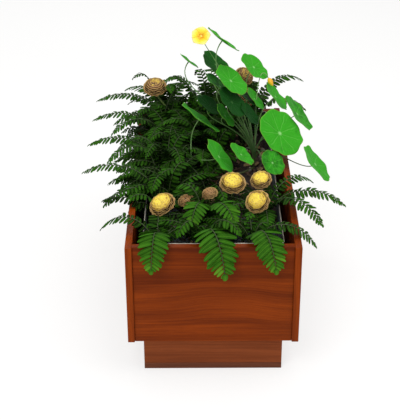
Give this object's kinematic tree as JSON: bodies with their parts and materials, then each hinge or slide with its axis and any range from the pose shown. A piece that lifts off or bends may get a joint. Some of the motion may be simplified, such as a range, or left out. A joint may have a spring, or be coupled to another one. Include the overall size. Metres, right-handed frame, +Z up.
{
  "type": "planter box",
  "caption": "Long timber planter box on a recessed plinth, with a lift-out metal liner planted with ferns, a trailing nasturtium and double flowers.",
  "frame": {"origin": "middle of the planter's footprint on the floor, at the underside of the foot frame's middle bar", "axes": "+Z up, +Y along the planter from its front end to its back end, +X across it to the right as seen from the front end"},
  "size_m": [0.6329, 0.8938, 0.6862],
  "materials": {
    "teak_board": "satin",
    "teak_plinth": "satin",
    "teak_foot": "satin",
    "raw_timber": "matte",
    "screw_steel": "satin",
    "liner_zinc": "satin",
    "gravel": "matte",
    "filter_fleece": "matte",
    "potting_soil": "matte",
    "fern_frond": "satin",
    "nasturtium_leaf": "satin",
    "nasturtium_stem": "satin",
    "nasturtium_petal": "satin",
    "double_petal": "satin"
  },
  "bodies": {
    "box": {"side_board_left": "teak_board", "side_board_right": "teak_board", "end_panel_front": "teak_board", "end_panel_back": "teak_board", "corner_batten_front_left": "raw_timber", "corner_batten_front_right": "raw_timber", "corner_batten_back_left": "raw_timber", "corner_batten_back_right": "raw_timber", "base_board": "raw_timber", "plinth_block_front_left": "raw_timber", "base_screw_front_left": "screw_steel", "plinth_block_front_right": "raw_timber", "base_screw_front_right": "screw_steel", "plinth_block_back_left": "raw_timber", "base_screw_back_left": "screw_steel", "plinth_block_back_right": "raw_timber", "base_screw_back_right": "screw_steel", "plinth_rail_front": "teak_plinth", "plinth_rail_back": "teak_plinth", "plinth_rail_left": "teak_plinth", "plinth_rail_right": "teak_plinth", "plinth_cross_rail": "raw_timber", "foot_frame": "teak_foot"},
    "planted_liner": {"liner": "liner_zinc", "gravel_layer": "gravel", "filter_mat": "filter_fleece", "soil": "potting_soil", "fern_front_left": "fern_frond", "fern_front_centre": "fern_frond", "fern_front_right": "fern_frond", "fern_right_near": "fern_frond", "fern_centre": "fern_frond", "fern_left_near": "fern_frond", "fern_left_middle": "fern_frond", "fern_left_far": "fern_frond", "fern_back_left": "fern_frond", "fern_back_centre": "fern_frond", "fern_back_right": "fern_frond", "nasturtium_leaf_top": "nasturtium_leaf", "nasturtium_leaf_crest": "nasturtium_leaf", "nasturtium_leaf_crest_shade": "nasturtium_leaf", "nasturtium_leaf_back_high": "nasturtium_leaf", "nasturtium_leaf_back_low": "nasturtium_leaf", "nasturtium_leaf_right_back": "nasturtium_leaf", "nasturtium_leaf_broad": "nasturtium_leaf", "nasturtium_leaf_right_high": "nasturtium_leaf", "nasturtium_leaf_right_low": "nasturtium_leaf", "nasturtium_leaf_nook": "nasturtium_leaf", "nasturtium_leaf_inner": "nasturtium_leaf", "nasturtium_leaf_left_high": "nasturtium_leaf", "nasturtium_leaf_left_back": "nasturtium_leaf", "nasturtium_flower": "nasturtium_petal", "nasturtium_stems": "nasturtium_stem", "flower_head_front_left": "double_petal", "flower_head_front_middle": "double_petal", "flower_head_front_right": "double_petal", "flower_head_right": "double_petal", "flower_head_back_left": "double_petal", "flower_head_back_middle": "double_petal", "flower_head_back_right": "double_petal"}
  },
  "joints": [
    {"name": "liner_lift", "type": "slide", "parent": "box", "child": "planted_liner", "axis": [0, 0, 1], "range_m": [0, 0.24]}
  ]
}
